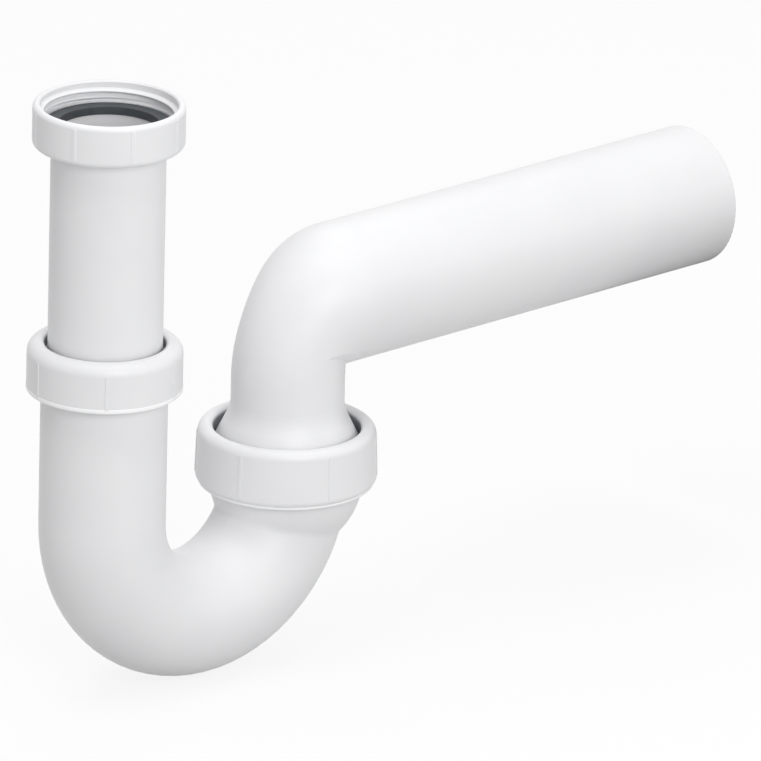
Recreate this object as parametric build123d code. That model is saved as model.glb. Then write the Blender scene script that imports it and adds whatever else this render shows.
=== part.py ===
from build123d import *
import math
import os

# Tubular trap in millimetres: inlet tube, U-shaped bend and outlet elbow with three union nuts.
# The origin is the centre of the inlet washer's upper face, where a waste outlet seats.
# +Z points up out of the inlet, +X runs from the inlet leg to the outlet leg and along the pipe.

# Inlet tube with its collar and flat washer
tube_od = 40.0
tube_wall = 2.0
tube_length = 116.0
collar_width = 2.2
collar_thickness = 2.2
washer_inset = 0.1
washer_overhang = 0.4
washer_thickness = 3.0

# Inlet nut, threaded for a waste outlet of nominal one and a half inches
inlet_thread_margin = 1.7
inlet_thread_depth = 7.2
inlet_nut_wall = 2.6
inlet_mouth_chamfer = 0.5
inlet_mouth_round = 1.6
inlet_nut_floor = 2.5
inlet_foot_round = 2.0
inlet_rib_count = 8
inlet_rib_phase = 22.5

# Slip nut that clamps the seal round the inlet tube
slip_thread_height = 1.25
slip_nut_wall = 3.6
slip_nut_drop = 79.4
slip_nut_height = 17.6
slip_lip_round = 2.0
slip_lip_thickness = 4.2
slip_rib_count = 6
slip_rib_phase = 51.0

# Friction ring and tapered seal under the slip nut
ring_thickness = 1.2
seal_flange_thickness = 1.5
seal_taper_length = 6.5
seal_lip_wall = 0.6
seal_root_wall = 2.2

# Trap bend: a straight inlet leg, a half turn and a ball-shaped outlet socket
leg_spacing = 85.0
bend_wall = 1.9
bend_drop = 147.0
slip_head_length = 9.5
socket_face_rise = 3.0
socket_thread_margin = 0.85
socket_thread_length = 6.5
socket_thread_step = 1.85
socket_ball_drop = 5.0
socket_wall = 2.0
socket_blend = 3.0

# Outlet elbow: a flared foot, a leg and a bend that widens into the outlet pipe
elbow_leg_od = 40.0
elbow_wall = 2.0
pipe_od = 50.0
pipe_reach = 190.0
elbow_height = 58.5
elbow_inner_radius = 0.5
widening_delay = 1.5
widening_run_out = 10.0
corner_inset = 1.0
corner_reach = 6.0
corner_relief = 0.05
flare_width = 8.1
flare_rim_thickness = 1.5
flare_height = 16.5
flare_blend = 15.0
spigot_length = 8.0
pipe_edge_round = 0.6
outlet_seal_thickness = 2.5

# Outlet nut over the flare
outlet_nut_wall = 2.9
outlet_nut_draft = 0.7
outlet_nut_height = 21.3
outlet_nut_rise = 14.6
outlet_lip_overlap = 2.1
outlet_lip_round = 2.1
outlet_foot_width = 0.8
outlet_foot_height = 0.8
outlet_foot_round = 2.0
outlet_rib_count = 6
outlet_rib_phase = 18.0

# Grip ribs, beads and small roundings that the pieces share
rib_width = 1.4
rib_proud = 0.25
rib_sunk = 0.8
bead_height = 1.5
bead_proud = 0.15
edge_round = 0.3

# Fits
tube_gap = 0.25
nut_hole_gap = 0.5
slip_opening_gap = 0.9
seal_gap = 0.05
face_gap = 0.05
thread_gap = 0.15
flare_gap = 0.3
washer_pocket_gap = 0.8

# Levels and radii that follow from the sizes above
tube_r = tube_od / 2
bend_bore_r = tube_r + tube_gap
bend_r = bend_bore_r + bend_wall
bend_radius = leg_spacing / 2
bend_z = -bend_drop
collar_r = tube_r + collar_width
washer_r = collar_r - washer_inset
inlet_thread_r = collar_r + inlet_thread_margin
tube_top = -washer_thickness
collar_under = tube_top - collar_thickness
slip_thread_r = bend_r + slip_thread_height
slip_inner_r = slip_thread_r - thread_gap
slip_bore_r = slip_thread_r + thread_gap
slip_crest = -slip_nut_drop
slip_bottom = slip_crest - slip_nut_height
slip_lip_under = slip_crest - slip_lip_thickness
ring_under = slip_lip_under - face_gap - ring_thickness
seal_top = ring_under - face_gap
leg_top = seal_top - seal_flange_thickness - face_gap
elbow_leg_r = elbow_leg_od / 2
pipe_r = pipe_od / 2
flare_r = elbow_leg_r + flare_width
socket_thread_r = flare_r + socket_thread_margin
ball_r = socket_thread_r - socket_thread_step
socket_bore_r = ball_r - socket_wall
outlet_bore_r = socket_thread_r + thread_gap
socket_face = bend_z + socket_face_rise
ball_z = socket_face - socket_ball_drop
flare_under = socket_face + outlet_seal_thickness + face_gap
flare_rim = flare_under + flare_rim_thickness
flare_top = flare_rim + flare_height
outlet_crest = socket_face + outlet_nut_rise
outlet_bottom = outlet_crest - outlet_nut_height
pipe_z = socket_face + elbow_height
outlet_axis = Pos(leg_spacing, 0, 0)


def turned(outline):
    """Revolve an outline of (radius, height, corner rounding) points about the Z axis."""
    section = make_face(Polyline(*[(r, z) for r, z, rounding in outline], close=True))
    for r, z, rounding in outline:
        if rounding > 0:
            corner = min(section.vertices(), key=lambda v: math.hypot(v.X - r, v.Y - z))
            section = fillet(corner, rounding)
    return revolve(Plane.XZ * section, axis=Axis.Z)


def tube(outer_r, inner_r, low, high):
    """A plain round tube about the Z axis between two heights."""
    height = high - low
    level = Pos(0, 0, (low + high) / 2)
    return level * (Cylinder(outer_r, height) - Cylinder(inner_r, height))


def with_grip_ribs(nut, low_r, high_r, low, high, count, phase):
    """Add grip ribs round a nut's wall, which may lean inwards from its low end to its high end."""
    depth = rib_proud + rib_sunk
    lean = math.degrees(math.atan2(low_r - high_r, high - low))
    bar = Box(depth, rib_width, high - low)
    bar = fillet(bar.edges().filter_by(Axis.Z).sort_by(Axis.X)[-2:], rib_proud * 0.9)
    bar = Pos((low_r + high_r) / 2 + rib_proud - depth / 2, 0, (low + high) / 2) * Rot(0, -lean, 0) * bar
    for step in range(count):
        nut += Rot(0, 0, phase + step * 360 / count) * bar
    return nut


def build_inlet_tube():
    """Straight tube with a flat collar at its top end."""
    bore_r = tube_r - tube_wall
    low = tube_top - tube_length
    return turned([
        (bore_r, tube_top, edge_round),
        (collar_r, tube_top, edge_round),
        (collar_r, collar_under, edge_round),
        (tube_r, collar_under, 0),
        (tube_r, low, tube_wall * 0.4),
        (bore_r, low, tube_wall * 0.4),
    ])


def build_inlet_washer():
    """Flat rubber washer on the collar, which reaches a little into the tube's bore."""
    inner_r = tube_r - tube_wall - washer_overhang
    return turned([
        (inner_r, 0, edge_round),
        (washer_r, 0, edge_round),
        (washer_r, tube_top, 0),
        (inner_r, tube_top, 0),
    ])


def build_inlet_nut():
    """Union nut that hangs on the tube's collar, with its mouth upwards."""
    top = inlet_thread_depth
    floor = collar_under - face_gap
    bottom = floor - inlet_nut_floor
    wall_r = inlet_thread_r + inlet_nut_wall
    pocket_r = washer_r + washer_pocket_gap
    hole_r = tube_r + nut_hole_gap
    nut = turned([
        (hole_r, bottom, 0),
        (wall_r, bottom, inlet_foot_round),
        (wall_r, top, inlet_mouth_round),
        (inlet_thread_r + inlet_mouth_chamfer, top, 0),
        (inlet_thread_r, top - inlet_mouth_chamfer, 0),
        (inlet_thread_r, 0, 0),
        (pocket_r, 0, 0),
        (pocket_r, floor, 0),
        (hole_r, floor, 0),
    ])
    rib_low = bottom + inlet_foot_round
    rib_top = top - inlet_mouth_round
    return with_grip_ribs(nut, wall_r, wall_r, rib_low, rib_top, inlet_rib_count, inlet_rib_phase)


def build_slip_nut():
    """Round-shouldered nut that squeezes the tapered seal onto the tube."""
    wall_r = slip_bore_r + slip_nut_wall
    bead_r = wall_r + bead_proud
    bead_top = slip_bottom + bead_height
    opening_r = tube_r + slip_opening_gap
    shoulder_round = wall_r - opening_r - slip_lip_round
    nut = turned([
        (slip_bore_r, slip_bottom, 0),
        (bead_r, slip_bottom, bead_height * 0.4),
        (bead_r, bead_top, bead_height * 0.3),
        (wall_r, bead_top + bead_proud, 0),
        (wall_r, slip_crest, shoulder_round),
        (opening_r, slip_crest, slip_lip_round * 0.95),
        (opening_r, slip_lip_under, 0),
        (slip_bore_r, slip_lip_under, 0),
    ])
    rib_top = slip_crest - shoulder_round * 0.9
    return with_grip_ribs(nut, wall_r, wall_r, bead_top, rib_top, slip_rib_count, slip_rib_phase)


def build_slip_ring():
    """Thin hard ring that lets the nut turn without dragging the seal."""
    low = ring_under
    high = low + ring_thickness
    return tube(slip_inner_r, bend_bore_r, low, high)


def seal_taper(gap):
    """Outer radii at the root and the lip of the tapered seal, grown by a gap."""
    inner_r = tube_r + seal_gap
    return inner_r + seal_root_wall + gap, inner_r + seal_lip_wall + gap


def build_slip_seal():
    """Rubber seal: a flange on the leg's end and a taper down into its seat."""
    inner_r = tube_r + seal_gap
    root_r, lip_r = seal_taper(0)
    flange_under = seal_top - seal_flange_thickness
    lip_low = flange_under - seal_taper_length
    return turned([
        (inner_r, lip_low, 0),
        (lip_r, lip_low, 0),
        (root_r, flange_under, 0),
        (slip_inner_r, flange_under, 0),
        (slip_inner_r, seal_top, edge_round),
        (inner_r, seal_top, 0),
    ])


def half_turn(radius):
    """The U of the bend as a solid half ring of round section."""
    section = Pos(0, 0, bend_z) * Circle(radius)
    centre_line = Axis((bend_radius, 0, bend_z), (0, -1, 0))
    return revolve(section, axis=centre_line, revolution_arc=180)


def upright(radius, low, high):
    """A solid round bar about the Z axis between two heights."""
    return Pos(0, 0, (low + high) / 2) * Cylinder(radius, high - low)


def build_trap_bend():
    """One moulding: threaded inlet leg, half turn and threaded ball socket."""
    ball = Sphere(ball_r) - Pos(0, 0, ball_r) * Box(2 * ball_r, 2 * ball_r, 2 * ball_r)
    arm = upright(bend_r, bend_z, leg_top) + half_turn(bend_r)
    outside = arm + outlet_axis * Pos(0, 0, ball_z) * ball
    creases = outside.edges() - arm.edges()
    creases = creases.filter_by(lambda e: e.center().Z < ball_z - socket_blend)
    outside = fillet(creases, socket_blend)
    outside += outlet_axis * upright(socket_thread_r, socket_face - socket_thread_length, socket_face)
    outside += upright(slip_thread_r, leg_top - slip_head_length, leg_top)

    hollow = upright(bend_bore_r, bend_z, leg_top) + half_turn(bend_bore_r)
    hollow += outlet_axis * Pos(0, 0, ball_z) * Sphere(socket_bore_r)
    hollow += outlet_axis * upright(socket_bore_r, ball_z, socket_face)
    seat_root_r, seat_lip_r = seal_taper(seal_gap)
    seat_low = leg_top - seal_taper_length - seal_gap
    seat = turned([
        (0, seat_low, 0),
        (seat_lip_r, seat_low, 0),
        (seat_root_r, leg_top, 0),
        (0, leg_top, 0),
    ])
    return outside - hollow - seat


def build_outlet_seal():
    """Rubber ring between the socket's end face and the elbow's flare."""
    high = socket_face + outlet_seal_thickness
    return outlet_axis * turned([
        (elbow_leg_r + tube_gap, socket_face, 0),
        (flare_r, socket_face, 0),
        (flare_r, high, edge_round),
        (elbow_leg_r + tube_gap, high, edge_round),
    ])


def level_bar(radius, start, end):
    """A solid round bar along the outlet pipe's axis between two distances."""
    return Pos((start + end) / 2, 0, pipe_z) * Rot(0, 90, 0) * Cylinder(radius, end - start)


def widening_bend(wall, pivot_x, pivot_z):
    """Solid quarter bend from the leg into the start of the pipe, smaller by a wall all round."""
    sections = []
    section_count = 6
    for step in range(section_count):
        share = step / (section_count - 1)
        turn = share * 90
        late = share ** widening_delay
        eased = late * late * (3 - 2 * late)
        radius = elbow_leg_r + (pipe_r - elbow_leg_r) * eased
        reach = elbow_inner_radius + radius
        x = pivot_x - reach * math.cos(math.radians(turn))
        z = pivot_z + reach * math.sin(math.radians(turn))
        sections.append(Pos(x, 0, z) * Rot(0, turn, 0) * Circle(radius - wall))
    sections.append(Pos(pivot_x + widening_run_out, 0, pipe_z) * Rot(0, 90, 0) * Circle(pipe_r - wall))
    return loft(sections)


def elbow_solid(wall, low, pipe_end):
    """Leg, widening bend and pipe as one solid, smaller by a wall all round.

    On the inside of the turn the leg runs straight up into the pipe's underside, with a sharp corner.
    """
    leg_r = elbow_leg_r - wall
    run_r = pipe_r - wall
    pivot_x = leg_spacing + elbow_leg_r + elbow_inner_radius
    pivot_z = pipe_z - pipe_r - elbow_inner_radius
    leg = outlet_axis * upright(leg_r, low, pivot_z)
    pipe = level_bar(run_r, pivot_x + widening_run_out, pipe_end)
    body = leg + widening_bend(wall, pivot_x, pivot_z) + pipe

    near_x, far_x = leg_spacing + corner_inset, pivot_x + corner_reach
    low_z, high_z = pivot_z - corner_reach, pipe_z - corner_inset
    crook = Box(far_x - near_x, pipe_od, high_z - low_z)
    crook = Pos((near_x + far_x) / 2, 0, (low_z + high_z) / 2) * crook
    crook -= outlet_axis * upright(leg_r + corner_relief, low_z - corner_inset, high_z + corner_inset)
    crook -= level_bar(run_r + corner_relief, near_x - corner_inset, far_x + corner_inset)
    return body - crook


def build_outlet_elbow():
    """One moulding: spigot, flared foot, leg, widening bend and outlet pipe."""
    low = flare_under - spigot_length
    pipe_end = leg_spacing + pipe_reach
    cone_angle = math.atan(flare_width / flare_height)
    blend_top = flare_top + flare_blend * math.tan(cone_angle / 2) + edge_round
    outside = elbow_solid(0, low, pipe_end)
    outside += outlet_axis * turned([
        (0, flare_under, 0),
        (flare_r, flare_under, edge_round),
        (flare_r, flare_rim, edge_round),
        (elbow_leg_r, flare_top, flare_blend),
        (elbow_leg_r, blend_top, 0),
        (0, blend_top, 0),
    ])
    elbow = outside - elbow_solid(elbow_wall, low, pipe_end)
    end_edges = elbow.edges().filter_by(GeomType.CIRCLE).group_by(Axis.X)[-1]
    return fillet(end_edges, pipe_edge_round)


def build_outlet_nut():
    """Round-shouldered nut whose coned lip holds the elbow's flare on the socket."""
    wall_r = outlet_bore_r + outlet_nut_wall
    top_r = wall_r - outlet_nut_draft
    opening_r = flare_r - outlet_lip_overlap
    shoulder_round = top_r - opening_r - outlet_lip_round
    foot_r = outlet_bore_r + outlet_foot_width
    wall_low = outlet_bottom + outlet_foot_height
    slope = flare_width / flare_height
    lift = flare_gap / math.sin(math.atan(slope))
    seat_r = flare_r + flare_gap
    seat_top = flare_rim + outlet_lip_overlap / slope + lift
    seat_low = flare_rim - flare_gap / slope + lift
    nut = turned([
        (outlet_bore_r, outlet_bottom, 0),
        (foot_r, outlet_bottom, edge_round),
        (foot_r, wall_low, 0),
        (wall_r, wall_low, outlet_foot_round),
        (top_r, outlet_crest, shoulder_round),
        (opening_r, outlet_crest, outlet_lip_round * 0.9),
        (opening_r, seat_top, 0),
        (seat_r, seat_low, 0),
        (outlet_bore_r, seat_low, 0),
    ])
    rib_low = wall_low + outlet_foot_round
    rib_top = outlet_crest - shoulder_round * 0.9
    draft = outlet_nut_draft / (outlet_crest - wall_low)
    low_r = wall_r - draft * (rib_low - wall_low)
    high_r = wall_r - draft * (rib_top - wall_low)
    nut = with_grip_ribs(nut, low_r, high_r, rib_low, rib_top, outlet_rib_count, outlet_rib_phase)
    return outlet_axis * nut


os.makedirs("parts", exist_ok=True)
pieces = {
    "inlet_nut": build_inlet_nut(),
    "inlet_washer": build_inlet_washer(),
    "inlet_tube": build_inlet_tube(),
    "slip_nut": build_slip_nut(),
    "slip_ring": build_slip_ring(),
    "slip_seal": build_slip_seal(),
    "trap_bend": build_trap_bend(),
    "outlet_seal": build_outlet_seal(),
    "outlet_elbow": build_outlet_elbow(),
    "outlet_nut": build_outlet_nut(),
}
for name, shape in pieces.items():
    export_step(shape, f"parts/{name}.step")
    print(name, "volume", round(shape.volume, 1))
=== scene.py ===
import logging
import math
from dataclasses import dataclass, field
from enum import Enum
from typing import Any, Optional, Union

import bmesh
import bpy
from mathutils import Matrix, Vector


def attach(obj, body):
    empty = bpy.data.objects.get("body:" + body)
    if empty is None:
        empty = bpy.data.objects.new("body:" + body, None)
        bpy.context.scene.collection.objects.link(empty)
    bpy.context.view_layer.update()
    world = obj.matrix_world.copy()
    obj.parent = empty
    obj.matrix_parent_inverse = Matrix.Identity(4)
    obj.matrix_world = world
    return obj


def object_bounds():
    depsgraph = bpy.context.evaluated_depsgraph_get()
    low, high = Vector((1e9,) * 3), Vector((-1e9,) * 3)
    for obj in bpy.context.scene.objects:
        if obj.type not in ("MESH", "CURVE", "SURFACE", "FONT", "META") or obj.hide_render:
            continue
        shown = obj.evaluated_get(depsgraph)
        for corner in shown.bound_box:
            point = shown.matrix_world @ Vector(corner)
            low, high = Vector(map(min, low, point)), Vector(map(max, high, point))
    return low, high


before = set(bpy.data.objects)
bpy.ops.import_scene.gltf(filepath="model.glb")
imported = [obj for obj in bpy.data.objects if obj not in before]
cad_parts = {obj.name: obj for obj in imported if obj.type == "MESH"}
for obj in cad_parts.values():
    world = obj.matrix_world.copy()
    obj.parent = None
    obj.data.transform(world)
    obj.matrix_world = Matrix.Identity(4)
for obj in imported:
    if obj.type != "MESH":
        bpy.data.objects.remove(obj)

# Looks of a white polypropylene tubular trap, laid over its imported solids.
# Lengths are in metres, or in millimetres where the name ends in mm.
CAD_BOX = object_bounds()
LOG = logging.getLogger("tubular_trap")
MM = 0.001
PHOTO_PIXELS = 761
SENSOR_MM = 36.0
WHITE = (1.0, 1.0, 1.0, 1.0)

# Sockets of a mix node that blends colours
MIX_SHARE = 0
MIX_FIRST = 6
MIX_SECOND = 7
MIX_RESULT = 2


class Grain(Enum):
    """Which way a moulding's fine drawn lines run."""

    NONE = "none"
    ALONG_Z = "along_z"
    ALONG_X = "along_x"


def linear(hex_colour: str) -> tuple[float, float, float, float]:
    """Turn an sRGB hex colour into linear RGBA.

    Args:
        hex_colour: Six hex digits, with or without a leading hash.

    Returns:
        Linear red, green, blue and an alpha of one.
    """
    digits = hex_colour.lstrip("#")
    channels = []
    for start in (0, 2, 4):
        value = int(digits[start:start + 2], 16) / 255
        channels.append(value / 12.92 if value <= 0.04045 else ((value + 0.055) / 1.055) ** 2.4)
    return channels[0], channels[1], channels[2], 1.0


def add_node(tree: bpy.types.NodeTree, kind: str, settings: Optional[dict[Union[str, int], Any]] = None,
             links: Optional[dict[Union[str, int], bpy.types.NodeSocket]] = None) -> bpy.types.Node:
    """Add a node with its settings and links.

    Args:
        tree: Node tree that gets the node.
        kind: Blender's name of the node type.
        settings: Node properties by name, and input defaults by input name or index.
        links: Sockets to plug in, by input name or index.

    Returns:
        The new node.
    """
    node = tree.nodes.new(kind)
    for key, value in (settings or {}).items():
        if isinstance(key, str) and hasattr(node, key):
            setattr(node, key, value)
        else:
            node.inputs[key].default_value = value
    for key, socket in (links or {}).items():
        tree.links.new(socket, node.inputs[key])
    return node


def new_material(name: str) -> tuple[bpy.types.Material, bpy.types.NodeTree]:
    """Make an empty node material.

    Args:
        name: The material's name.

    Returns:
        The material and its cleared node tree.
    """
    material = bpy.data.materials.new(name)
    material.use_nodes = True
    material.node_tree.nodes.clear()
    return material, material.node_tree


def linked_object(name: str, data: bpy.types.ID) -> bpy.types.Object:
    """Make an object and link it into the scene.

    Args:
        name: The object's name.
        data: Its mesh, light or camera.

    Returns:
        The object.
    """
    made = bpy.data.objects.new(name, data)
    bpy.context.scene.collection.objects.link(made)
    return made


def four_corners(name: str, corners: list[tuple[float, float, float]]) -> bpy.types.Object:
    """Make a flat object with one face.

    Args:
        name: The object's name.
        corners: Its four corners in order.

    Returns:
        The object.
    """
    mesh = bpy.data.meshes.new(name)
    mesh.from_pydata(corners, [], [(0, 1, 2, 3)])
    return linked_object(name, mesh)


def join_rings(work: bmesh.types.BMesh, ring: list[bmesh.types.BMVert],
               after: list[bmesh.types.BMVert]) -> None:
    """Join two closed rings of points with faces.

    Args:
        work: Mesh that holds the points.
        ring: Points of the first ring.
        after: Points of the next ring, as many.
    """
    for index in range(len(ring)):
        beside = (index + 1) % len(ring)
        work.faces.new((ring[index], ring[beside], after[beside], after[index]))


def smooth_object(name: str, work: bmesh.types.BMesh, material: bpy.types.Material) -> bpy.types.Object:
    """Turn a finished mesh into a smooth object whose faces look outwards.

    Args:
        name: The object's name.
        work: Mesh to use up.
        material: Its finish.

    Returns:
        The object.
    """
    for face in work.faces:
        face.smooth = True
    bmesh.ops.recalc_face_normals(work, faces=work.faces)
    mesh = bpy.data.meshes.new(name)
    work.to_mesh(mesh)
    work.free()
    mesh.materials.append(material)
    return linked_object(name, mesh)


def direction(azimuth_deg: float, elevation_deg: float) -> Vector:
    """Give the way from the trap to a camera or a light.

    Args:
        azimuth_deg: Turn about the vertical, where 0 stands on the -Y side and 90 on the +X side.
        elevation_deg: Angle above the floor.

    Returns:
        A vector of length one.
    """
    azimuth = math.radians(azimuth_deg)
    elevation = math.radians(elevation_deg)
    return Vector((math.sin(azimuth) * math.cos(elevation), -math.cos(azimuth) * math.cos(elevation),
                   math.sin(elevation)))


@dataclass(frozen=True)
class Pattern:
    """A cloudy pattern of a real size."""

    size_mm: float
    detail: float

    def settings(self) -> dict[str, float]:
        """Give the pattern as settings of a noise node."""
        return {"Scale": 1 / (self.size_mm * MM), "Detail": self.detail}


@dataclass(frozen=True)
class Relief:
    """How strongly and how deeply a pattern stands in a surface."""

    strength: float
    depth_mm: float

    def settings(self) -> dict[str, float]:
        """Give the relief as settings of a bump node."""
        return {"Strength": self.strength, "Distance": self.depth_mm * MM}


@dataclass(frozen=True)
class MouldedPolypropylene:
    """White polypropylene out of a polished mould: milky, softly glossy, with a faint skin texture.

    The eye sees a nearly neutral white, broad soft highlights, and a skin that is not quite even: mould
    texture, slow sink waves, a fine ridge where the mould parts, and on drawn tube faint lines along it.
    Real skin texture and drawn lines are finer. Here they are as coarse as they need to be to show.
    """

    name: str
    colour: str = "#EFEFF0"
    shade: str = "#E8E8EA"
    roughness_low: float = 0.34
    roughness_high: float = 0.46
    ior: float = 1.49
    specular_level: float = 0.3
    milk_weight: float = 0.08
    milk_mm: float = 1.5
    milk_radius: tuple[float, float, float] = (1.0, 0.95, 0.9)
    skin: Pattern = Pattern(0.9, 2.0)
    skin_relief: Relief = Relief(0.20, 0.02)
    sink: Pattern = Pattern(26.0, 3.0)
    sink_relief: Relief = Relief(0.35, 0.25)
    grain: Grain = Grain.NONE
    line_across_mm: float = 1.6
    line_along_mm: float = 180.0
    line_relief: Relief = Relief(0.12, 0.02)
    parting_line: bool = False
    parting_half_mm: float = 0.25
    parting_relief: Relief = Relief(0.3, 0.03)
    # Painted shade: within this reach an occlusion mask darkens narrow gaps towards the shade colour.
    crevice_mm: float = 0.0
    crevice_shade_colour: str = "#7C7E82"
    crevice_closed: float = 0.25
    crevice_open: float = 0.7
    crevice_samples: int = 8
    # Painted highlight: below this height the finish turns lighter, so a nut's lower lip shows as a bright
    # line.
    lip_top_mm: Optional[float] = None
    lip_blend_mm: float = 0.2
    lip_highlight_colour: str = "#FCFCFD"

    def build(self) -> bpy.types.Material:
        """Make the material.

        Returns:
            The finished node material.
        """
        material, tree = new_material(self.name)
        place = add_node(tree, "ShaderNodeTexCoord")
        spot = {"Vector": place.outputs["Object"]}
        cloud = add_node(tree, "ShaderNodeTexNoise", self.sink.settings(), spot)
        skin = add_node(tree, "ShaderNodeTexNoise", self.skin.settings(), spot)
        tint = add_node(tree, "ShaderNodeMix", {"data_type": "RGBA", MIX_FIRST: linear(self.colour),
                                                MIX_SECOND: linear(self.shade)},
                        {MIX_SHARE: cloud.outputs["Fac"]})
        # Painted shade in the nuts' narrow gaps.
        tint = self.crevice_shade(tree, tint)
        # Painted highlight along a nut's lower lip.
        tint = self.painted_lip_highlight(tree, place, tint)
        gloss = add_node(tree, "ShaderNodeMapRange",
                         {"To Min": self.roughness_low, "To Max": self.roughness_high},
                         {"Value": skin.outputs["Fac"]})
        relief = add_node(tree, "ShaderNodeBump", self.sink_relief.settings(),
                          {"Height": cloud.outputs["Fac"]})
        relief = add_node(tree, "ShaderNodeBump", self.skin_relief.settings(),
                          {"Height": skin.outputs["Fac"], "Normal": relief.outputs["Normal"]})
        relief = self.drawn_lines(tree, place, relief)
        relief = self.parting_ridge(tree, place, relief)
        shader = add_node(tree, "ShaderNodeBsdfPrincipled",
                          {"IOR": self.ior, "Specular IOR Level": self.specular_level,
                           "Subsurface Weight": self.milk_weight, "Subsurface Scale": self.milk_mm * MM,
                           "Subsurface Radius": self.milk_radius},
                          {"Base Color": tint.outputs[MIX_RESULT], "Roughness": gloss.outputs["Result"],
                           "Normal": relief.outputs["Normal"]})
        add_node(tree, "ShaderNodeOutputMaterial", None, {"Surface": shader.outputs["BSDF"]})
        return material

    def crevice_shade(self, tree: bpy.types.NodeTree, tint: bpy.types.Node) -> bpy.types.Node:
        """Paint shade into the narrow gaps inside a nut's mouth: an occlusion mask mixes in a dark colour
        where the surface is hemmed in, standing in for the shadow there.

        Args:
            tree: Node tree of the material.
            tint: Colour node so far.

        Returns:
            The colour node that now ends the chain.
        """
        if not self.crevice_mm:
            return tint
        nearby = add_node(tree, "ShaderNodeAmbientOcclusion",
                          {"samples": self.crevice_samples, "Distance": self.crevice_mm * MM})
        open_share = add_node(tree, "ShaderNodeMapRange",
                              {"interpolation_type": "SMOOTHSTEP", "From Min": self.crevice_closed,
                               "From Max": self.crevice_open}, {"Value": nearby.outputs["AO"]})
        return add_node(tree, "ShaderNodeMix", {"data_type": "RGBA", MIX_FIRST: linear(self.crevice_shade_colour)},
                        {MIX_SHARE: open_share.outputs["Result"], MIX_SECOND: tint.outputs[MIX_RESULT]})

    def painted_lip_highlight(self, tree: bpy.types.NodeTree, place: bpy.types.Node,
                 tint: bpy.types.Node) -> bpy.types.Node:
        """Paint a highlight on a nut's thin lower lip: below a height the colour is mixed towards a lighter
        one, so the lip shows as a bright line.

        Args:
            tree: Node tree of the material.
            place: Texture coordinate node.
            tint: Colour node so far.

        Returns:
            The colour node that now ends the chain.
        """
        if self.lip_top_mm is None:
            return tint
        axes = add_node(tree, "ShaderNodeSeparateXYZ", None, {"Vector": place.outputs["Object"]})
        above = add_node(tree, "ShaderNodeMapRange",
                         {"interpolation_type": "SMOOTHSTEP", "From Min": self.lip_top_mm * MM,
                          "From Max": (self.lip_top_mm + self.lip_blend_mm) * MM},
                         {"Value": axes.outputs["Z"]})
        return add_node(tree, "ShaderNodeMix", {"data_type": "RGBA", MIX_FIRST: linear(self.lip_highlight_colour)},
                        {MIX_SHARE: above.outputs["Result"], MIX_SECOND: tint.outputs[MIX_RESULT]})

    def drawn_lines(self, tree: bpy.types.NodeTree, place: bpy.types.Node,
                    relief: bpy.types.Node) -> bpy.types.Node:
        """Add faint lines along a drawn tube or pipe.

        Args:
            tree: Node tree of the material.
            place: Texture coordinate node.
            relief: Bump node so far.

        Returns:
            The bump node that now ends the chain.
        """
        if self.grain is Grain.NONE:
            return relief
        across = 1 / (self.line_across_mm * MM)
        along = 1 / (self.line_along_mm * MM)
        stretch = (across, across, along) if self.grain is Grain.ALONG_Z else (along, across, across)
        mapping = add_node(tree, "ShaderNodeMapping", {"Scale": stretch}, {"Vector": place.outputs["Object"]})
        lines = add_node(tree, "ShaderNodeTexNoise", {"Scale": 1.0, "Detail": 1.0},
                         {"Vector": mapping.outputs["Vector"]})
        return add_node(tree, "ShaderNodeBump", self.line_relief.settings(),
                        {"Height": lines.outputs["Fac"], "Normal": relief.outputs["Normal"]})

    def parting_ridge(self, tree: bpy.types.NodeTree, place: bpy.types.Node,
                      relief: bpy.types.Node) -> bpy.types.Node:
        """Add the fine ridge where the mould's two halves meet, in the plane of the bend.

        Args:
            tree: Node tree of the material.
            place: Texture coordinate node.
            relief: Bump node so far.

        Returns:
            The bump node that now ends the chain.
        """
        if not self.parting_line:
            return relief
        axes = add_node(tree, "ShaderNodeSeparateXYZ", None, {"Vector": place.outputs["Object"]})
        offset = add_node(tree, "ShaderNodeMath", {"operation": "ABSOLUTE"}, {0: axes.outputs["Y"]})
        ridge = add_node(tree, "ShaderNodeMapRange",
                         {"interpolation_type": "SMOOTHSTEP", "From Min": 0.0,
                          "From Max": self.parting_half_mm * MM, "To Min": 1.0, "To Max": 0.0},
                         {"Value": offset.outputs["Value"]})
        return add_node(tree, "ShaderNodeBump", self.parting_relief.settings(),
                        {"Height": ridge.outputs["Result"], "Normal": relief.outputs["Normal"]})


@dataclass(frozen=True)
class NutPolypropylene(MouldedPolypropylene):
    """The nuts' polypropylene, out of a better polished mould: the eye sees slightly tighter highlights."""

    roughness_low: float = 0.30
    roughness_high: float = 0.42


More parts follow.
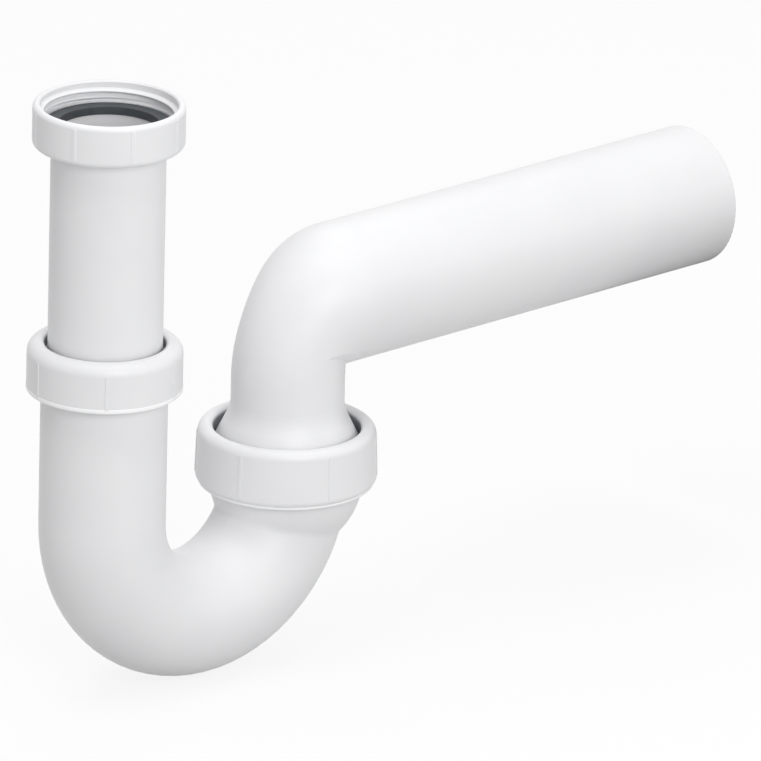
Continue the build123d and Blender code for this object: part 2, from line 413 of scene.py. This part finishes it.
@dataclass(frozen=True)
class EpdmRubber:
    """Black EPDM rubber, compression moulded: dark grey, matt, with a dusty bloom.

    The eye sees a soft charcoal that lightens a little where the bloom lies, and no sharp highlight. Real
    grit is finer. Here it is as coarse as it needs to be to show.
    """

    name: str
    colour: str = "#32363A"
    bloom_colour: str = "#4A4F53"
    bloom: Pattern = Pattern(3.5, 4.0)
    grit: Pattern = Pattern(0.35, 2.0)
    grit_relief: Relief = Relief(0.4, 0.03)
    roughness_low: float = 0.5
    roughness_high: float = 0.75
    ior: float = 1.52

    def build(self) -> bpy.types.Material:
        """Make the material.

        Returns:
            The finished node material.
        """
        material, tree = new_material(self.name)
        place = add_node(tree, "ShaderNodeTexCoord")
        spot = {"Vector": place.outputs["Object"]}
        dust = add_node(tree, "ShaderNodeTexNoise", self.bloom.settings(), spot)
        grit = add_node(tree, "ShaderNodeTexNoise", self.grit.settings(), spot)
        tint = add_node(tree, "ShaderNodeMix", {"data_type": "RGBA", MIX_FIRST: linear(self.colour),
                                                MIX_SECOND: linear(self.bloom_colour)},
                        {MIX_SHARE: dust.outputs["Fac"]})
        gloss = add_node(tree, "ShaderNodeMapRange",
                         {"To Min": self.roughness_low, "To Max": self.roughness_high},
                         {"Value": dust.outputs["Fac"]})
        relief = add_node(tree, "ShaderNodeBump", self.grit_relief.settings(),
                          {"Height": grit.outputs["Fac"]})
        shader = add_node(tree, "ShaderNodeBsdfPrincipled", {"IOR": self.ior},
                          {"Base Color": tint.outputs[MIX_RESULT], "Roughness": gloss.outputs["Result"],
                           "Normal": relief.outputs["Normal"]})
        add_node(tree, "ShaderNodeOutputMaterial", None, {"Surface": shader.outputs["BSDF"]})
        return material


def dress(node: str, material: bpy.types.Material) -> None:
    """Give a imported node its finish.

    Args:
        node: The node's name.
        material: The finish that takes the place of its packed one.
    """
    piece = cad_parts[node]
    piece.data.materials.clear()
    piece.data.materials.append(material)
    LOG.info("dressed %s in %s", node, material.name)


@dataclass
class InletThread:
    """The pipe thread inside the inlet nut's mouth: a single start with rounded crests."""

    root_mm: float = 23.9
    height_mm: float = 1.48
    pitch_mm: float = 2.309
    low_mm: float = 1.15
    high_mm: float = 5.6
    width_share: float = 0.96
    profile_steps: int = 12
    fade_turn: float = 0.2
    least_fade: float = 0.03
    steps_per_turn: int = 96
    sunk_mm: float = 0.05

    def ridge_profile(self) -> list[tuple[float, float]]:
        """Give the ridge's outline across its run.

        Returns:
            Points of (share of the pitch along the axis, share of the height inwards).
        """
        points = []
        for step in range(self.profile_steps + 1):
            along = step / self.profile_steps - 0.5
            points.append((along * self.width_share, 0.5 + 0.5 * math.cos(2 * math.pi * along)))
        return points

    def build(self, body: str, slot: str, material: bpy.types.Material) -> bpy.types.Object:
        """Make the thread as one closed ridge that runs out at both ends.

        Args:
            body: Body that the thread turns with.
            slot: Material slot of the record; not used.
            material: Finish of the thread.

        Returns:
            The thread's object.
        """
        work = bmesh.new()
        profile = self.ridge_profile()
        turns = (self.high_mm - self.low_mm) / self.pitch_mm
        steps = int(turns * self.steps_per_turn)
        rows = []
        for step in range(steps + 1):
            turn = step / self.steps_per_turn
            run_out = min(turn, steps / self.steps_per_turn - turn) / self.fade_turn
            fade = min(1.0, max(self.least_fade, run_out))
            angle = 2 * math.pi * turn
            middle = self.low_mm + turn * self.pitch_mm
            row = []
            for along, inward in profile:
                radius = self.root_mm + self.sunk_mm - (self.height_mm + self.sunk_mm) * inward * fade
                height = middle + along * self.pitch_mm
                corner = (radius * MM * math.cos(angle), radius * MM * math.sin(angle), height * MM)
                row.append(work.verts.new(corner))
            rows.append(row)
        for row, after in zip(rows, rows[1:]):
            join_rings(work, row, after)
        work.faces.new(rows[0])
        work.faces.new(rows[-1])
        thread = smooth_object("inlet_thread", work, material)
        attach(thread, body)
        LOG.info("built %s with %.1f turns", thread.name, turns)
        return thread


@dataclass
class InletAssembly:
    """The drawn inlet tube with its washer, and the union nut with its thread."""

    tube: MouldedPolypropylene = MouldedPolypropylene(
        "moulded polypropylene, drawn tube", grain=Grain.ALONG_Z)
    nut: NutPolypropylene = NutPolypropylene("moulded polypropylene, union nut")
    rubber: EpdmRubber = EpdmRubber("EPDM rubber, flat washer")
    thread: InletThread = field(default_factory=InletThread)

    def build(self) -> None:
        """Dress the nodes and add the thread."""
        dress("inlet_tube", self.tube.build())
        nut_finish = self.nut.build()
        dress("inlet_nut", nut_finish)
        dress("inlet_washer", self.rubber.build())
        self.thread.build("inlet_nut", "white_plastic", nut_finish)


@dataclass
class SlipJoint:
    """The slip nut with the friction ring and the tapered seal under it."""

    # Its finish paints shade into the narrow gaps of its mouth and a highlight along its lower lip.
    nut: NutPolypropylene = NutPolypropylene(
        "moulded polypropylene, slip nut", crevice_mm=2.2, lip_top_mm=-95.5)
    ring: MouldedPolypropylene = MouldedPolypropylene("moulded polypropylene, friction ring")
    rubber: EpdmRubber = EpdmRubber("EPDM rubber, tapered seal")

    def build(self) -> None:
        """Dress the nodes."""
        dress("slip_nut", self.nut.build())
        dress("slip_ring", self.ring.build())
        dress("slip_seal", self.rubber.build())


@dataclass
class FootBead:
    """The fine bead round the outlet nut's lower edge. It catches the light, and the nut's finish also paints
    it lighter, so its thin bright line is partly real light and partly a painted highlight.
    """

    axis_x_mm: float = 85.0
    ring_mm: float = 30.15
    bead_mm: float = 0.8
    level_mm: float = -150.1
    ring_steps: int = 160
    bead_steps: int = 16

    def build(self, body: str, slot: str, material: bpy.types.Material) -> bpy.types.Object:
        """Make the bead as a closed ring of round section.

        Args:
            body: Body that the bead turns with.
            slot: Material slot of the record; not used.
            material: Finish of the bead.

        Returns:
            The bead's object.
        """
        work = bmesh.new()
        rings = []
        for step in range(self.ring_steps):
            angle = 2 * math.pi * step / self.ring_steps
            ring = []
            for turn in range(self.bead_steps):
                tilt = 2 * math.pi * turn / self.bead_steps
                radius = self.ring_mm + self.bead_mm * math.cos(tilt)
                height = self.level_mm + self.bead_mm * math.sin(tilt)
                corner = (self.axis_x_mm + radius * math.cos(angle), radius * math.sin(angle), height)
                ring.append(work.verts.new(Vector(corner) * MM))
            rings.append(ring)
        for step, ring in enumerate(rings):
            join_rings(work, ring, rings[(step + 1) % self.ring_steps])
        bead = smooth_object("foot_bead", work, material)
        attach(bead, body)
        LOG.info("built %s", bead.name)
        return bead


@dataclass
class OutletAssembly:
    """The bend, the swivelling elbow with its pipe, and the outlet nut with its bead and seal."""

    bend: MouldedPolypropylene = MouldedPolypropylene("moulded polypropylene, bend", parting_line=True)
    elbow: MouldedPolypropylene = MouldedPolypropylene(
        "moulded polypropylene, elbow", grain=Grain.ALONG_X, parting_line=True)
    # Its finish paints shade into the narrow gaps of its mouth and a highlight along its lower lip, bead
    # included.
    nut: NutPolypropylene = NutPolypropylene(
        "moulded polypropylene, outlet nut", crevice_mm=4.5, lip_top_mm=-149.8)
    rubber: EpdmRubber = EpdmRubber("EPDM rubber, flat seal")
    bead: FootBead = field(default_factory=FootBead)

    def build(self) -> None:
        """Dress the nodes and add the bead."""
        dress("trap_bend", self.bend.build())
        dress("outlet_elbow", self.elbow.build())
        nut_finish = self.nut.build()
        dress("outlet_nut", nut_finish)
        # The bead lies below the nut finish's lip height, so it gets the painted lip highlight.
        self.bead.build("outlet_nut", "white_plastic", nut_finish)
        dress("outlet_seal", self.rubber.build())


@dataclass
class PhotoCamera:
    """A long lens that stands where the photograph was taken from."""

    azimuth_deg: float = -42.07
    elevation_deg: float = 20.19
    roll_deg: float = -1.41
    distance_mm: float = 5068.0
    reach_mm: float = 50000.0
    focal_pixels: float = 14735.0
    origin_pixel: tuple[float, float] = (109.1, 123.07)

    def build(self) -> bpy.types.Object:
        """Make the camera so that the frame's origin falls on its pixel.

        Returns:
            The camera object.
        """
        azimuth = math.radians(self.azimuth_deg)
        roll = math.radians(self.roll_deg)
        back = direction(self.azimuth_deg, self.elevation_deg)
        level_right = Vector((math.cos(azimuth), math.sin(azimuth), 0.0))
        level_up = back.cross(level_right)
        right = level_right * math.cos(roll) - level_up * math.sin(roll)
        up = level_up * math.cos(roll) + level_right * math.sin(roll)
        middle = PHOTO_PIXELS / 2
        per_pixel = self.distance_mm * MM / self.focal_pixels
        across = (self.origin_pixel[0] - middle) * per_pixel
        upward = (middle - self.origin_pixel[1]) * per_pixel
        place = back * self.distance_mm * MM - right * across - up * upward
        lens = bpy.data.cameras.new("photo_camera")
        lens.sensor_width = SENSOR_MM
        lens.lens = self.focal_pixels / PHOTO_PIXELS * SENSOR_MM
        lens.clip_end = self.reach_mm * MM
        camera = linked_object("photo_camera", lens)
        turn = Matrix((right, up, back)).transposed().to_4x4()
        camera.matrix_world = Matrix.Translation(place) @ turn
        bpy.context.scene.camera = camera
        return camera


@dataclass(frozen=True)
class SoftBox:
    """One large studio light that faces the trap."""

    name: str
    azimuth_deg: float
    elevation_deg: float
    distance_mm: float
    size_mm: float
    watts: float

    def build(self, target: Vector) -> bpy.types.Object:
        """Make the light.

        Args:
            target: Point that the light faces.

        Returns:
            The light object.
        """
        away = direction(self.azimuth_deg, self.elevation_deg)
        lamp = bpy.data.lights.new(self.name, "AREA")
        lamp.shape = "DISK"
        lamp.size = self.size_mm * MM
        lamp.energy = self.watts
        light = linked_object(self.name, lamp)
        light.visible_camera = False
        light.location = target + away * self.distance_mm * MM
        light.rotation_euler = away.to_track_quat("Z", "Y").to_euler()
        return light


@dataclass(frozen=True)
class DarkCard:
    """A dark studio card that the camera doesn't see. It keeps stray light off the pipe's end from below."""

    place_mm: tuple[float, float, float] = (289.0, 0.0, -137.0)
    width_mm: float = 160.0
    height_mm: float = 80.0
    colour: str = "#202020"

    def build(self) -> bpy.types.Object:
        """Make the card.

        Returns:
            The card object.
        """
        across = self.width_mm * MM / 2
        up = self.height_mm * MM / 2
        card = four_corners("dark_card", [(0, -across, -up), (0, across, -up), (0, across, up),
                                          (0, -across, up)])
        card.location = Vector(self.place_mm) * MM
        card.visible_camera = False
        card.visible_shadow = False
        material, tree = new_material("matt black card")
        matt = add_node(tree, "ShaderNodeBsdfDiffuse", {"Color": linear(self.colour)})
        add_node(tree, "ShaderNodeOutputMaterial", None, {"Surface": matt.outputs["BSDF"]})
        card.data.materials.append(material)
        return card


@dataclass
class Studio:
    """Plain white floor, soft boxes, a dark card and an even sky."""

    floor_side_mm: float = 12000.0
    floor_colour: str = "#F4F4F4"
    bounce_colour: str = "#C6C6C6"
    shadow_share: float = 0.15
    sky_strength: float = 0.5
    card: DarkCard = DarkCard()
    boxes: tuple[SoftBox, ...] = (
        SoftBox("overhead_box", -85.0, 78.0, 1500.0, 1300.0, 8.7),
        SoftBox("front_box", -24.0, 25.0, 1600.0, 800.0, 9.1),
        SoftBox("right_box", 45.0, 18.0, 1600.0, 800.0, 1.8),
        SoftBox("back_box", 140.0, 50.0, 1600.0, 900.0, 3.0),
    )

    def seen_rays(self, tree: bpy.types.NodeTree) -> bpy.types.Node:
        """Pick out the rays that look at the background itself.

        Args:
            tree: Node tree of the floor or the sky.

        Returns:
            A node whose value is one for camera, glossy and transmission rays.
        """
        path = add_node(tree, "ShaderNodeLightPath")
        direct = add_node(tree, "ShaderNodeMath", {"operation": "MAXIMUM"},
                          {0: path.outputs["Is Camera Ray"], 1: path.outputs["Is Glossy Ray"]})
        return add_node(tree, "ShaderNodeMath", {"operation": "MAXIMUM"},
                        {0: direct.outputs["Value"], 1: path.outputs["Is Transmission Ray"]})

    def build_floor(self, level: float) -> bpy.types.Object:
        """Make the floor, which looks white to the camera and keeps a soft shadow.

        Args:
            level: Height of the floor.

        Returns:
            The floor object.
        """
        half = self.floor_side_mm * MM / 2
        floor = four_corners("floor", [(-half, -half, level), (half, -half, level), (half, half, level),
                                       (-half, half, level)])
        material, tree = new_material("painted studio floor")
        seen = self.seen_rays(tree)
        share = add_node(tree, "ShaderNodeMath", {"operation": "MULTIPLY", 1: 1 - self.shadow_share},
                         {0: seen.outputs["Value"]})
        tone = add_node(tree, "ShaderNodeMix",
                        {"data_type": "RGBA", MIX_FIRST: linear(self.bounce_colour),
                         MIX_SECOND: linear(self.floor_colour)},
                        {MIX_SHARE: seen.outputs["Value"]})
        matt = add_node(tree, "ShaderNodeBsdfDiffuse", None, {"Color": tone.outputs[MIX_RESULT]})
        white = add_node(tree, "ShaderNodeEmission", {"Color": WHITE, "Strength": 1.0})
        both = add_node(tree, "ShaderNodeMixShader", None,
                        {0: share.outputs["Value"], 1: matt.outputs["BSDF"], 2: white.outputs["Emission"]})
        add_node(tree, "ShaderNodeOutputMaterial", None, {"Surface": both.outputs["Shader"]})
        floor.data.materials.append(material)
        return floor

    def build_sky(self) -> None:
        """Make the even sky, white where the camera sees it."""
        world = bpy.data.worlds.new("studio_sky")
        world.use_nodes = True
        tree = world.node_tree
        tree.nodes.clear()
        seen = self.seen_rays(tree)
        level = add_node(tree, "ShaderNodeMapRange", {"To Min": self.sky_strength, "To Max": 1.0},
                         {"Value": seen.outputs["Value"]})
        sky = add_node(tree, "ShaderNodeBackground", {"Color": WHITE}, {"Strength": level.outputs["Result"]})
        add_node(tree, "ShaderNodeOutputWorld", None, {"Surface": sky.outputs["Background"]})
        bpy.context.scene.world = world

    def build(self) -> None:
        """Make the floor, the sky, the card and the lights."""
        low, high = Vector(CAD_BOX[0]), Vector(CAD_BOX[1])
        self.build_floor(low.z)
        self.build_sky()
        self.card.build()
        for box in self.boxes:
            box.build((low + high) / 2)
        bpy.context.scene.view_settings.view_transform = "Standard"


def main() -> None:
    """Build the trap's looks, the camera and the studio."""
    logging.basicConfig(level=logging.INFO, format="%(name)s: %(message)s")
    for assembly in (InletAssembly(), SlipJoint(), OutletAssembly()):
        assembly.build()
        LOG.info("finished %s", type(assembly).__name__)
    PhotoCamera().build()
    Studio().build()


if __name__ == "__main__":
    main()
